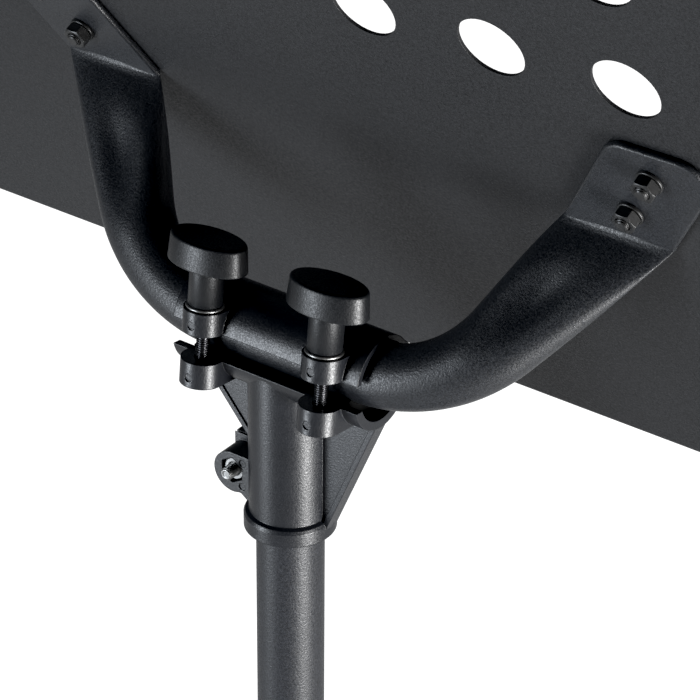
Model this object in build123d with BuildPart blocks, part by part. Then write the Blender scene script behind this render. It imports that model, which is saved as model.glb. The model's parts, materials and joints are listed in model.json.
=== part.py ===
from build123d import *
import os
from math import atan2, cos, degrees, hypot, pi, radians, sin, sqrt

# Orchestra music stand. Origin on the column's axis at the floor, +Z up. The musician stands on the
# +Y side, and the desk's back, its yoke and the tilt clamp's knobs face -Y. Millimetres.

# Column
COLUMN_R = 15.0
COLUMN_WALL = 1.5
LOWER_R = 17.5
LOWER_WALL = 1.5
RUN = 0.05                      # radial clearance of a running fit
FIT = 0.02                      # radial clearance of a press fit
HEAD_Z = 700.0                  # lower rim of the tilt head
UPPER_END_Z = 62.0              # lower end of the upper tube, fully lowered
LOWER_TOP_Z = 518.0

# Tilt clamp
TILT_Z = HEAD_Z + 91.0          # the desk tilts about this level
YOKE_R = 14.0
YOKE_WALL = 1.5
JAW_R = 18.3
JAW_HALF = 48.0                 # half length of both jaws along X
GRIP_HALF = 38.0                # half length over which they grip the yoke
JAW_RELIEF_R = 15.6
TROUGH_Z = HEAD_Z + 86.0
TROUGH_R = 19.0
TROUGH_BORE_R = 15.0
TROUGH_REAR_Z = HEAD_Z + 92.0
SLEEVE_R = 18.0
COLLAR_PROFILE = ((20.3, 0.0), (20.3, 6.2), (19.6, 7.8), (18.0, 8.8))
SLEEVE_BORE_TOP = HEAD_Z + 66.0

# Clamp screws: two M6 screws that lean towards the musician. Heights run along a screw from its datum.
SCREW_X = 31.0
SCREW_Y = -19.2
SCREW_Z = HEAD_Z + 90.0
SCREW_LEAN = 6.25
SCREW_R = 3.0
EAR_R = 9.25
EAR_REACH = 12.0
UPPER_EAR = (4.6, 15.0)
LOWER_EAR = (-19.6, -8.2)
WASHER_R = 8.3
WASHER_T = 1.6
KNOB_LONG = 19.3                # half length of the oval head along X
KNOB_SHORT = 11.9
KNOB_DRAFT = 0.8                # how much smaller the head is at its top
KNOB_H = 12.2
KNOB_ROUND = 1.3
KNOB_NECK_R = 7.5
KNOB_HEAD_FROM = 34.4
SCREW_SPAN = (-21.5, 28.0)
M6_FLATS = 10.0
M6_NUT_H = 5.0

# Sleeve clamp: an M6 bolt along Y through two lugs on the -X side
LUG_X = -24.8
LUG_Z = HEAD_Z + 21.6
LUG_FRONT_Y = -9.0
LUG_SLOT = (2.2, 3.4)
LUG_REAR_Y = 10.0

# Desk: a folded steel sheet leaning back from the vertical
DESK_LEAN = 25.2
DESK_Y = 110.0                  # back of the sheet at its lower edge
DESK_Z = HEAD_Z + 31.0
DESK_W = 530.0
DESK_H = 350.0
SHEET = 1.5
SHELF_DEPTH = 62.0
SHELF_LIP = 14.0
FOLD_R = 3.0
CORNER_R = 28.0
HOLE_R = 15.0
HOLE_PITCH = 60.0
HOLE_ROWS = (240.0, 300.0)
HOLES_IN_ROW = 8

# Yoke: a bent tube with its ends pressed flat and bolted to the desk
YOKE_HALF = 38.0
YOKE_BEND_R = 68.0
YOKE_BEND = 58.5
YOKE_FLAT_HALF = 22.0
YOKE_FLAT_T = 3.4
YOKE_PRESS_LENGTH = 118.0
CREASE_D = 151.0                # up the desk from its lower edge
TAB_LENGTH = 66.0
TAB_SPLAY = 29.0
TAB_BOLTS = (20.0, 48.0)        # up the tab from the crease

# Base
BASE_R = 190.0
FOOT_H = 3.0
FOOT_R = 16.0
FOOT_RING_R = 165.0
FOOT_COUNT = 5
HUB_TOP_Z = 26.0

# Height clutch
CLUTCH_R = 22.5
CLUTCH_Z = (466.0, 532.0)
CLUTCH_SCREW_Z = 494.0
CLUTCH_BOSS_R = 11.5
CLUTCH_BOSS_X = 38.0
M8_R = 4.0
M8_FLATS = 13.0
M8_NUT_H = 6.5


os.makedirs("parts", exist_ok=True)


def save(builder, name):
    builder.part.label = name
    export_step(builder.part, f"parts/{name}.step")


def parting_z(y, along):
    """Height at y of the plane square to the clamp screws, a distance along them from their datum."""
    lean = radians(SCREW_LEAN)
    y0 = SCREW_Y + along * sin(lean)
    z0 = SCREW_Z + along * cos(lean)
    return z0 - (y - y0) * sin(lean) / cos(lean)


def screw_plane(x, along=0.0):
    lean = radians(SCREW_LEAN)
    datum = Plane(origin=(x, SCREW_Y, SCREW_Z), x_dir=(1, 0, 0), z_dir=(0, sin(lean), cos(lean)))
    return datum.offset(along)


def screw_front_y(along):
    return SCREW_Y + along * sin(radians(SCREW_LEAN)) - EAR_R


def hexagon(flats):
    return RegularPolygon(radius=flats / sqrt(3), side_count=6)


def circles_over(builder, radius):
    return builder.edges().filter_by(GeomType.CIRCLE).filter_by(lambda edge: edge.radius > radius)


YZ_LEFT = Plane.YZ.offset(-JAW_HALF)
XZ_BACK = Plane.XZ              # faces -Y, so offset(a) stands at Y = -a


# ---------------------------------------------------------------- base and lower column

BASE_PROFILE = ((22.0, FOOT_H), (BASE_R - 3.0, FOOT_H), (BASE_R, FOOT_H + 3.0), (BASE_R, FOOT_H + 6.5))
with BuildPart() as base_disc:
    with BuildSketch(Plane.XZ):
        with BuildLine():
            Polyline((0, FOOT_H), *BASE_PROFILE)
            Spline((BASE_R, FOOT_H + 6.5), (BASE_R - 14.0, FOOT_H + 10.0), (60.0, FOOT_H + 16.5),
                   (30.0, HUB_TOP_Z - 2.0))
            Polyline((30.0, HUB_TOP_Z - 2.0), (26.0, HUB_TOP_Z), (0, HUB_TOP_Z), (0, FOOT_H))
        make_face()
    revolve(axis=Axis.Z)
    with Locations((0, 0, FOOT_H)):
        Cylinder(22.0, 9.0, align=(Align.CENTER, Align.CENTER, Align.MIN), mode=Mode.SUBTRACT)
    with Locations((0, 0, HUB_TOP_Z)):
        Cylinder(6.25, 30.0, align=(Align.CENTER, Align.CENTER, Align.CENTER), mode=Mode.SUBTRACT)
    with Locations((0, 0, HUB_TOP_Z - 4.0)):
        Cylinder(LOWER_R + RUN, 4.0, align=(Align.CENTER, Align.CENTER, Align.MIN), mode=Mode.SUBTRACT)
    with BuildSketch(Plane.XY.offset(FOOT_H)):
        with PolarLocations(FOOT_RING_R, FOOT_COUNT, start_angle=90):
            Circle(FOOT_R + 0.1)
    extrude(amount=2.0, mode=Mode.SUBTRACT)
    # hollow underside of the casting, between the hub and the ring that holds the feet
    with BuildSketch(Plane.XZ):
        Polygon((34.0, FOOT_H - 1.0), (36.0, 13.5), (60.0, 12.5), (142.0, 8.0), (146.0, FOOT_H - 1.0), align=None)
    revolve(axis=Axis.Z, mode=Mode.SUBTRACT)
save(base_disc, "base_disc")

with BuildPart() as rubber_feet:
    with BuildSketch():
        with PolarLocations(FOOT_RING_R, FOOT_COUNT, start_angle=90):
            Circle(FOOT_R)
    extrude(amount=FOOT_H + 2.0)
    chamfer(rubber_feet.edges().group_by(Axis.Z)[0], 0.8)
save(rubber_feet, "rubber_feet")

with BuildPart() as base_washer:
    with Locations((0, 0, FOOT_H + 9.0)):
        Cylinder(18.0, 3.0, align=(Align.CENTER, Align.CENTER, Align.MAX))
        Cylinder(6.3, 8.0, mode=Mode.SUBTRACT)
save(base_washer, "base_washer")

with BuildPart() as base_bolt:
    with BuildSketch(Plane.XY.offset(FOOT_H + 6.0)):
        hexagon(18.0)
    extrude(amount=-5.5)
    with Locations((0, 0, FOOT_H + 6.0)):
        Cylinder(6.0, 36.0, align=(Align.CENTER, Align.CENTER, Align.MIN))
save(base_bolt, "base_bolt")

INSERT_TOP_Z = 46.0
with BuildPart() as tube_insert:
    with Locations((0, 0, HUB_TOP_Z - 4.0)):
        Cylinder(LOWER_R - LOWER_WALL, INSERT_TOP_Z - HUB_TOP_Z + 4.0,
                 align=(Align.CENTER, Align.CENTER, Align.MIN))
    Cylinder(6.0, 120.0, mode=Mode.SUBTRACT)
save(tube_insert, "tube_insert")

with BuildPart() as lower_tube:
    with Locations((0, 0, HUB_TOP_Z - 4.0)):
        Cylinder(LOWER_R, LOWER_TOP_Z - HUB_TOP_Z + 4.0, align=(Align.CENTER, Align.CENTER, Align.MIN))
        Cylinder(LOWER_R - LOWER_WALL, 1200.0, mode=Mode.SUBTRACT)
    with Locations(Plane.YZ * Pos(0, CLUTCH_SCREW_Z, 0)):
        Cylinder(6.0, 40.0, align=(Align.CENTER, Align.CENTER, Align.MIN), mode=Mode.SUBTRACT)
save(lower_tube, "lower_tube")

with BuildPart() as base_collar:
    with BuildSketch(Plane.XZ):
        with BuildLine():
            Polyline((LOWER_R + RUN, HUB_TOP_Z), (25.0, HUB_TOP_Z), (25.0, HUB_TOP_Z + 6.0),
                     (21.5, HUB_TOP_Z + 16.0), (LOWER_R + RUN, HUB_TOP_Z + 18.0), (LOWER_R + RUN, HUB_TOP_Z))
        make_face()
    revolve(axis=Axis.Z)
save(base_collar, "base_collar")

# ---------------------------------------------------------------- height clutch

with BuildPart() as clutch_housing:
    with BuildSketch(Plane.XY.offset(CLUTCH_Z[0])):
        Circle(CLUTCH_R)
    extrude(amount=CLUTCH_Z[1] - CLUTCH_Z[0])
    fillet(clutch_housing.edges().group_by(Axis.Z)[-1], 3.0)
    chamfer(clutch_housing.edges().group_by(Axis.Z)[0], 1.2)
    with BuildSketch(Plane.YZ):
        with Locations((0, CLUTCH_SCREW_Z)):
            SlotCenterToCenter(10.0, 2 * CLUTCH_BOSS_R, rotation=90)
    extrude(amount=CLUTCH_BOSS_X)
    fillet(clutch_housing.edges().group_by(Axis.X)[-1], 1.5)
    with Locations((0, 0, CLUTCH_Z[0])):
        Cylinder(LOWER_R + FIT, LOWER_TOP_Z + 2.0 - CLUTCH_Z[0], mode=Mode.SUBTRACT,
                 align=(Align.CENTER, Align.CENTER, Align.MIN))
        Cylinder(COLUMN_R + 0.3, 400.0, mode=Mode.SUBTRACT)
    with BuildSketch(Plane.YZ):
        with Locations((0, CLUTCH_SCREW_Z)):
            Circle(M8_R + 0.2)
    extrude(amount=80.0, mode=Mode.SUBTRACT)
    with BuildSketch(Plane.YZ.offset(CLUTCH_BOSS_X - 9.0)):
        with Locations((0, CLUTCH_SCREW_Z)):
            hexagon(M8_FLATS + 0.2)
        with Locations((0, CLUTCH_SCREW_Z + 14.0)):
            Rectangle(M8_FLATS + 0.2, 28.0)
    extrude(amount=-(M8_NUT_H + 0.2), mode=Mode.SUBTRACT)
save(clutch_housing, "clutch_housing")

with BuildPart() as clutch_nut:
    with BuildSketch(Plane.YZ.offset(CLUTCH_BOSS_X - 9.1)):
        with Locations((0, CLUTCH_SCREW_Z)):
            hexagon(M8_FLATS)
            Circle(M8_R + RUN, mode=Mode.SUBTRACT)
    extrude(amount=-M8_NUT_H)
save(clutch_nut, "clutch_nut")

BUSH_LENGTH = 60.0
with BuildPart() as guide_bush:
    with Locations((0, 0, LOWER_TOP_Z)):
        Cylinder(LOWER_R - LOWER_WALL - 0.02, BUSH_LENGTH, align=(Align.CENTER, Align.CENTER, Align.MAX))
        Cylinder(LOWER_R - 0.1, 2.0, align=(Align.CENTER, Align.CENTER, Align.MIN))
        Cylinder(COLUMN_R + RUN, 200.0, mode=Mode.SUBTRACT)
    with Locations(Plane.YZ * Pos(0, CLUTCH_SCREW_Z, 0)):
        Cylinder(5.2, 40.0, align=(Align.CENTER, Align.CENTER, Align.MIN), mode=Mode.SUBTRACT)
save(guide_bush, "guide_bush")

PAD_OUTER_X = 19.0
with BuildPart() as pressure_pad:
    with BuildSketch(Plane.YZ):
        with Locations((0, CLUTCH_SCREW_Z)):
            Circle(4.0)
    extrude(amount=PAD_OUTER_X)
    with Locations((0, 0, CLUTCH_SCREW_Z)):
        Cylinder(COLUMN_R + 0.02, 40.0, mode=Mode.SUBTRACT)
save(pressure_pad, "pressure_pad")

HEIGHT_KNOB_X = 41.0
HEIGHT_SCREW_GRIP = 16.0        # length of the screw inside its knob
with BuildPart() as height_screw:
    with BuildSketch(Plane.YZ.offset(PAD_OUTER_X)):
        with Locations((0, CLUTCH_SCREW_Z)):
            Circle(M8_R)
    extrude(amount=HEIGHT_KNOB_X + HEIGHT_SCREW_GRIP - PAD_OUTER_X)
save(height_screw, "height_screw")

KNOB_LOBES = 5
with BuildPart() as height_knob:
    with BuildSketch(Plane.YZ.offset(HEIGHT_KNOB_X)):
        with Locations((0, CLUTCH_SCREW_Z)):
            Circle(8.0)
    extrude(amount=10.0)
    with BuildSketch(Plane.YZ.offset(HEIGHT_KNOB_X + 8.0)):
        with Locations((0, CLUTCH_SCREW_Z)):
            Circle(18.0)
            with PolarLocations(15.0, KNOB_LOBES):
                Circle(9.0)
    extrude(amount=15.0)
    fillet(height_knob.edges().group_by(Axis.X)[-1], 2.5)
    with BuildSketch(Plane.YZ.offset(HEIGHT_KNOB_X)):
        with Locations((0, CLUTCH_SCREW_Z)):
            Circle(M8_R + FIT)
    extrude(amount=HEIGHT_SCREW_GRIP, mode=Mode.SUBTRACT)
save(height_knob, "height_knob")

# ---------------------------------------------------------------- upper column

with BuildPart() as upper_tube:
    with Locations((0, 0, UPPER_END_Z)):
        Cylinder(COLUMN_R, SLEEVE_BORE_TOP - 1.0 - UPPER_END_Z, align=(Align.CENTER, Align.CENTER, Align.MIN))
        Cylinder(COLUMN_R - COLUMN_WALL, 2000.0, mode=Mode.SUBTRACT)
save(upper_tube, "upper_tube")

RING_H = 9.0
PLUG_NECK_R = 11.5
PLUG_FOOT_Z = UPPER_END_Z - 3.0 - RING_H - 0.2 - 2.5
with BuildPart() as tube_end_plug:
    with Locations((0, 0, UPPER_END_Z)):
        Cylinder(COLUMN_R - COLUMN_WALL, 16.0, align=(Align.CENTER, Align.CENTER, Align.MIN))
        Cylinder(COLUMN_R, 3.0, align=(Align.CENTER, Align.CENTER, Align.MAX))
    with Locations((0, 0, PLUG_FOOT_Z)):
        Cylinder(PLUG_NECK_R, UPPER_END_Z - PLUG_FOOT_Z, align=(Align.CENTER, Align.CENTER, Align.MIN))
        Cylinder(COLUMN_R, 2.5, align=(Align.CENTER, Align.CENTER, Align.MIN))
    Cylinder(7.0, 300.0, mode=Mode.SUBTRACT)
save(tube_end_plug, "tube_end_plug")

with BuildPart() as glide_ring:
    with Locations((0, 0, PLUG_FOOT_Z + 2.6)):
        Cylinder(LOWER_R - LOWER_WALL - RUN, RING_H, align=(Align.CENTER, Align.CENTER, Align.MIN))
        Cylinder(PLUG_NECK_R + RUN, 60.0, mode=Mode.SUBTRACT)
    chamfer(circles_over(glide_ring, PLUG_NECK_R + 1), 0.6)
save(glide_ring, "glide_ring")

# ---------------------------------------------------------------- tilt head

GUSSET_Y = (-1.0, 1.3)
FLANGE_Y = (-1.7, 2.7, 8.5)
FLANGE_T = 2.5
FLANGE_STEP = 0.8
RIGHT_EDGE = ((19.2, HEAD_Z + 2.0), (46.8, HEAD_Z + 68.0))
LEFT_EDGE = ((-16.0, HEAD_Z + 30.2), (-46.8, HEAD_Z + 66.4))


def moved_in(points, depth):
    """The points of a gusset's slanted edge, given as (foot, tip), moved square to it into the gusset."""
    (foot_x, foot_z), (tip_x, tip_z) = points
    side = 1 if tip_x > 0 else -1
    length = hypot(tip_x - foot_x, tip_z - foot_z)
    step_x = -side * depth * (tip_z - foot_z) / length
    step_z = side * depth * (tip_x - foot_x) / length
    return [(x + step_x, z + step_z) for x, z in points]


with BuildPart() as tilt_head:
    with Locations((0, 0, HEAD_Z)):
        Cylinder(SLEEVE_R, TROUGH_Z - 4.0 - HEAD_Z, align=(Align.CENTER, Align.CENTER, Align.MIN))
    with BuildSketch(Plane.XZ):
        with Locations((0, HEAD_Z)):
            Polygon((0, 0), *COLLAR_PROFILE, (0, COLLAR_PROFILE[-1][1]), align=None)
    revolve(axis=Axis.Z)
    for edge in (RIGHT_EDGE, LEFT_EDGE):
        foot, tip = edge
        root_x = 10.0 if tip[0] > 0 else -10.0
        with BuildSketch(XZ_BACK.offset(-GUSSET_Y[0])):
            Polygon(foot, tip, (tip[0], TROUGH_Z - 8.0), (root_x, TROUGH_Z - 8.0), (root_x, foot[1]), align=None)
        extrude(amount=GUSSET_Y[0] - GUSSET_Y[1])
        for near, far, step in ((FLANGE_Y[0], FLANGE_Y[1], 0.0), (FLANGE_Y[1], FLANGE_Y[2], FLANGE_STEP)):
            with BuildSketch(XZ_BACK.offset(-near)):
                Polygon(*moved_in(edge, step), *reversed(moved_in(edge, FLANGE_T)), align=None)
            extrude(amount=near - far)
    with BuildSketch(YZ_LEFT):
        with Locations((0, TROUGH_Z)):
            Circle(TROUGH_R)
        Polygon((TROUGH_BORE_R - 2.0, TROUGH_Z - 6.0), (TROUGH_R, TROUGH_Z - 6.0), (TROUGH_R, TROUGH_REAR_Z),
                (TROUGH_BORE_R, TROUGH_REAR_Z), align=None)
    extrude(amount=2 * JAW_HALF)
    for x in (-SCREW_X, SCREW_X):
        with BuildSketch(screw_plane(x, LOWER_EAR[0])):
            Circle(EAR_R)
            with Locations((0, EAR_REACH / 2)):
                Rectangle(2 * EAR_R, EAR_REACH)
        extrude(amount=LOWER_EAR[1] - LOWER_EAR[0])
    with BuildSketch(XZ_BACK.offset(-LUG_FRONT_Y)):
        with Locations((LUG_X, LUG_Z - 0.9)):
            Circle(9.8)
        Polygon((LUG_X, HEAD_Z + 30.5), (-12.0, HEAD_Z + 30.5), (-12.0, HEAD_Z + 7.5), (-17.0, HEAD_Z + 9.5),
                (-20.0, HEAD_Z + 11.6), (LUG_X - 3.0, HEAD_Z + 11.6), align=None)
    extrude(amount=LUG_FRONT_Y - LUG_SLOT[0])
    with BuildSketch(XZ_BACK.offset(-LUG_SLOT[0] + 0.2)):
        with Locations((-21.8, HEAD_Z + 22.8)):
            Rectangle(19.6, 21.6)
    extrude(amount=LUG_SLOT[0] - 0.2 - LUG_REAR_Y)
    # the seat of the yoke, open above the parting plane
    with BuildSketch(YZ_LEFT):
        with Locations((0, TROUGH_Z)):
            Circle(TROUGH_BORE_R)
        Polygon((-40.0, parting_z(-40.0, LOWER_EAR[1])), (-TROUGH_BORE_R + 1.0, parting_z(-14.0, LOWER_EAR[1])),
                (TROUGH_BORE_R, TROUGH_Z), (TROUGH_BORE_R, TROUGH_REAR_Z), (30.0, TROUGH_REAR_Z),
                (30.0, TILT_Z + 40.0), (-40.0, TILT_Z + 40.0), align=None)
    extrude(amount=2 * JAW_HALF, mode=Mode.SUBTRACT)
    # bore for the column, and the slot that lets the sleeve close on it
    with Locations((0, 0, HEAD_Z)):
        Cylinder(COLUMN_R + 0.02, SLEEVE_BORE_TOP - HEAD_Z, mode=Mode.SUBTRACT,
                 align=(Align.CENTER, Align.CENTER, Align.MIN))
    with Locations((-27.0, (LUG_SLOT[0] + LUG_SLOT[1]) / 2, HEAD_Z + 17.0)):
        Box(30.0, LUG_SLOT[1] - LUG_SLOT[0], 38.0, mode=Mode.SUBTRACT)
    # screw bores with a nut trap under each ear
    for x in (-SCREW_X, SCREW_X):
        with BuildSketch(screw_plane(x, LOWER_EAR[0])):
            hexagon(M6_FLATS + 0.2)
        extrude(amount=M6_NUT_H + 0.4, mode=Mode.SUBTRACT)
        with BuildSketch(screw_plane(x, LOWER_EAR[0])):
            Circle(SCREW_R + 0.3)
        extrude(amount=30.0, mode=Mode.SUBTRACT)
    # the lug's bolt bore and nut pocket
    with BuildSketch(XZ_BACK.offset(-LUG_FRONT_Y)):
        with Locations((LUG_X, LUG_Z)):
            Circle(SCREW_R + 0.2)
    extrude(amount=-40.0, mode=Mode.SUBTRACT)
    with BuildSketch(XZ_BACK.offset(-LUG_FRONT_Y)):
        with Locations((LUG_X, LUG_Z)):
            RegularPolygon(radius=(M6_FLATS + 1.0) / sqrt(3), side_count=6, rotation=30)
    extrude(amount=-(M6_NUT_H + 1.5), mode=Mode.SUBTRACT)
    # ejector marks, sunk in the faces that look towards -Y
    with BuildSketch(XZ_BACK.offset(-LUG_FRONT_Y)):
        with Locations((-19.2, HEAD_Z + 26.9), (-19.4, HEAD_Z + 14.9)):
            Circle(1.7)
    extrude(amount=-0.5, mode=Mode.SUBTRACT)
    middle = (LOWER_EAR[0] + LOWER_EAR[1]) / 2
    with BuildSketch(XZ_BACK.offset(-screw_front_y(middle) + 2.0)):
        with Locations((-SCREW_X, parting_z(SCREW_Y, middle)), (SCREW_X, parting_z(SCREW_Y, middle))):
            Circle(1.9)
    extrude(amount=-2.5, mode=Mode.SUBTRACT)
save(tilt_head, "tilt_head")

HOOK_Y = 21.2
with BuildPart() as upper_jaw:
    with BuildSketch(YZ_LEFT):
        with Locations((0, TILT_Z)):
            Circle(JAW_R)
        Polygon((8.0, TILT_Z + 10.0), (10.9, TILT_Z + 14.7), (HOOK_Y, TILT_Z + 4.5), (HOOK_Y, TROUGH_REAR_Z - 2.0),
                (8.0, TROUGH_REAR_Z - 2.0), align=None)
        with Locations((0, TILT_Z)):
            Circle(YOKE_R + RUN, mode=Mode.SUBTRACT)
        Polygon((-40.0, parting_z(-40.0, UPPER_EAR[0])), (-8.0, parting_z(-8.0, UPPER_EAR[0])),
                (0.0, TILT_Z), (0.0, TROUGH_REAR_Z + 0.1), (HOOK_Y + 2.0, TROUGH_REAR_Z + 0.1),
                (HOOK_Y + 2.0, HEAD_Z + 60.0), (-40.0, HEAD_Z + 60.0), align=None, mode=Mode.SUBTRACT)
    extrude(amount=2 * JAW_HALF)
    with BuildSketch(Plane.YZ.offset(-30.0)):
        with Locations(((TROUGH_R + 0.2 + HOOK_Y) / 2, TROUGH_REAR_Z - 3.0)):
            Rectangle(HOOK_Y - TROUGH_R - 0.2, 10.0)
    extrude(amount=60.0)
    for x in (-SCREW_X, SCREW_X):
        with BuildSketch(screw_plane(x, UPPER_EAR[0])):
            Circle(EAR_R)
            with Locations((0, EAR_REACH / 2)):
                Rectangle(2 * EAR_R, EAR_REACH)
        extrude(amount=UPPER_EAR[1] - UPPER_EAR[0])
    with BuildSketch(YZ_LEFT):
        with Locations((0, TILT_Z)):
            Circle(YOKE_R + RUN)
    extrude(amount=2 * JAW_HALF, mode=Mode.SUBTRACT)
    for side in (-1, 1):
        with BuildSketch(Plane.YZ.offset(side * GRIP_HALF)):
            with Locations((0, TILT_Z)):
                Circle(JAW_RELIEF_R)
        extrude(amount=side * 20.0, mode=Mode.SUBTRACT)
    # screw bores, each with a spot face for its washer
    for x in (-SCREW_X, SCREW_X):
        with BuildSketch(screw_plane(x, UPPER_EAR[0] - 10.0)):
            Circle(SCREW_R + 0.3)
        extrude(amount=40.0, mode=Mode.SUBTRACT)
        with BuildSketch(screw_plane(x, UPPER_EAR[1])):
            Circle(WASHER_R + 0.3)
        extrude(amount=20.0, mode=Mode.SUBTRACT)
    middle = (UPPER_EAR[0] + UPPER_EAR[1]) / 2
    with BuildSketch(XZ_BACK.offset(-screw_front_y(middle) + 2.0)):
        with Locations((-SCREW_X, parting_z(SCREW_Y, middle)), (SCREW_X, parting_z(SCREW_Y, middle))):
            Circle(1.9)
    extrude(amount=-2.5, mode=Mode.SUBTRACT)
save(upper_jaw, "upper_jaw")

SADDLE_HALF = 40.0
SADDLE_GROOVES = 11
with BuildPart() as friction_saddle:
    with BuildSketch(Plane.YZ.offset(-SADDLE_HALF)):
        with Locations((0, TROUGH_Z)):
            Circle(TROUGH_BORE_R - 0.05)
        with Locations((0, TILT_Z)):
            Circle(YOKE_R + RUN, mode=Mode.SUBTRACT)
        with Locations((0, HEAD_Z + 82.0)):
            Rectangle(60.0, 60.0, align=(Align.CENTER, Align.MIN), mode=Mode.SUBTRACT)
    extrude(amount=2 * SADDLE_HALF)
    with Locations((0, 0, HEAD_Z + 82.0)):
        with GridLocations(2 * SADDLE_HALF / SADDLE_GROOVES, 1, SADDLE_GROOVES, 1):
            Box(1.6, 20.0, 4.0, mode=Mode.SUBTRACT)
save(friction_saddle, "friction_saddle")

# ---------------------------------------------------------------- fasteners of the tilt head

with BuildPart() as clamp_nuts:
    for x in (-SCREW_X, SCREW_X):
        with BuildSketch(screw_plane(x, LOWER_EAR[0] + 0.2)):
            hexagon(M6_FLATS)
            Circle(SCREW_R + RUN, mode=Mode.SUBTRACT)
        extrude(amount=M6_NUT_H)
save(clamp_nuts, "clamp_nuts")

with BuildPart() as sleeve_nut:
    with BuildSketch(XZ_BACK.offset(-LUG_FRONT_Y - 1.4)):
        with Locations((LUG_X, LUG_Z)):
            RegularPolygon(radius=M6_FLATS / sqrt(3), side_count=6, rotation=30)
            Circle(SCREW_R, mode=Mode.SUBTRACT)
    extrude(amount=-M6_NUT_H)
save(sleeve_nut, "sleeve_nut")

with BuildPart() as sleeve_washer:
    with BuildSketch(XZ_BACK.offset(-LUG_REAR_Y)):
        with Locations((LUG_X, LUG_Z)):
            Circle(6.0)
            Circle(SCREW_R + 0.2, mode=Mode.SUBTRACT)
    extrude(amount=-WASHER_T)
save(sleeve_washer, "sleeve_washer")

with BuildPart() as sleeve_bolt:
    with BuildSketch(XZ_BACK.offset(-LUG_FRONT_Y + 4.6)):
        with Locations((LUG_X, LUG_Z)):
            Circle(SCREW_R)
    extrude(amount=-(LUG_REAR_Y + WASHER_T - LUG_FRONT_Y + 4.6))
    with BuildSketch(XZ_BACK.offset(-LUG_REAR_Y - WASHER_T)):
        with Locations((LUG_X, LUG_Z)):
            hexagon(M6_FLATS)
    extrude(amount=-4.0)
save(sleeve_bolt, "sleeve_bolt")

for side, x in (("left", -SCREW_X), ("right", SCREW_X)):
    with BuildPart() as clamp_knob:
        with BuildSketch(screw_plane(x, UPPER_EAR[1] + WASHER_T)):
            Circle(KNOB_NECK_R)
        extrude(amount=KNOB_HEAD_FROM - UPPER_EAR[1] - WASHER_T + 1.0)
        with BuildSketch(screw_plane(x, KNOB_HEAD_FROM)):
            Ellipse(KNOB_LONG, KNOB_SHORT)
        with BuildSketch(screw_plane(x, KNOB_HEAD_FROM + KNOB_H)):
            Ellipse(KNOB_LONG - KNOB_DRAFT, KNOB_SHORT - KNOB_DRAFT)
        loft()
        head_axis = Axis((0, 0, 0), screw_plane(x).z_dir)
        fillet(clamp_knob.faces().sort_by(head_axis)[-1].edges(), KNOB_ROUND)
        with BuildSketch(screw_plane(x, UPPER_EAR[1] + WASHER_T)):
            Circle(SCREW_R + FIT)
        extrude(amount=SCREW_SPAN[1] - UPPER_EAR[1] - WASHER_T, mode=Mode.SUBTRACT)
    save(clamp_knob, f"clamp_knob_{side}")

    with BuildPart() as clamp_screw:
        with BuildSketch(screw_plane(x, SCREW_SPAN[0])):
            Circle(SCREW_R)
        extrude(amount=SCREW_SPAN[1] - SCREW_SPAN[0])
    save(clamp_screw, f"clamp_screw_{side}")

    with BuildPart() as clamp_washer:
        with BuildSketch(screw_plane(x, UPPER_EAR[1])):
            Circle(WASHER_R)
            Circle(SCREW_R + 0.2, mode=Mode.SUBTRACT)
        extrude(amount=WASHER_T)
    save(clamp_washer, f"clamp_washer_{side}")

# ---------------------------------------------------------------- desk

lean = radians(DESK_LEAN)
DESK_UP = (0.0, -sin(lean), cos(lean))
DESK_BACK = Plane(origin=(0, DESK_Y, DESK_Z), x_dir=(1, 0, 0), z_dir=(0, -cos(lean), -sin(lean)))
DESK_SIDE = Plane(origin=(-DESK_W / 2, DESK_Y, DESK_Z), x_dir=DESK_UP, z_dir=(1, 0, 0))

crease_y = DESK_Y - CREASE_D * sin(lean) - YOKE_FLAT_T / 2 * cos(lean)
crease_z = DESK_Z + CREASE_D * cos(lean) - YOKE_FLAT_T / 2 * sin(lean)
yoke_tilt = atan2(crease_y, crease_z - TILT_Z)
crease_v = hypot(crease_y, crease_z - TILT_Z)
bend = radians(YOKE_BEND)
leg_length = (crease_v - YOKE_BEND_R * (1 - cos(bend))) / sin(bend)
crease_u = YOKE_HALF + YOKE_BEND_R * sin(bend) + leg_length * cos(bend)


def tab_point(side, along):
    """A point on a tab's centreline in the desk's plane, a distance up the tab from the crease."""
    splay = radians(TAB_SPLAY)
    return (side * (crease_u + along * sin(splay)), CREASE_D + along * cos(splay))


with BuildPart() as desk_plate:
    with BuildSketch(DESK_SIDE):
        with BuildLine():
            FilletPolyline((DESK_H, -SHEET / 2), (SHEET / 2, -SHEET / 2), (SHEET / 2, -SHELF_DEPTH),
                           (SHELF_LIP, -SHELF_DEPTH), radius=FOLD_R)
        trace(line_width=SHEET)
    extrude(amount=DESK_W)
    across_sheet = Axis((0, 0, 0), DESK_BACK.z_dir)
    fillet(desk_plate.edges().filter_by(across_sheet).sort_by(Axis.Z)[-2:], CORNER_R)
    with BuildSketch(DESK_BACK.offset(1.0)):
        for row in HOLE_ROWS:
            with Locations((0, row)):
                with GridLocations(HOLE_PITCH, 1, HOLES_IN_ROW, 1):
                    Circle(HOLE_R)
        with Locations(*[tab_point(side, along) for side in (-1, 1) for along in TAB_BOLTS]):
            Circle(SCREW_R + 0.2)
    extrude(amount=-SHEET - 2.0, mode=Mode.SUBTRACT)
save(desk_plate, "desk_plate")

YOKE_PLANE = Plane(origin=(0, 0, TILT_Z), x_dir=(1, 0, 0), z_dir=(0, -cos(yoke_tilt), sin(yoke_tilt)))
bend_length = YOKE_BEND_R * bend
press_from = bend_length + leg_length - YOKE_PRESS_LENGTH
press_turn = degrees(press_from / YOKE_BEND_R)


def smooth(x):
    x = min(max(x, 0.0), 1.0)
    return x * x * (3 - 2 * x)


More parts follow.
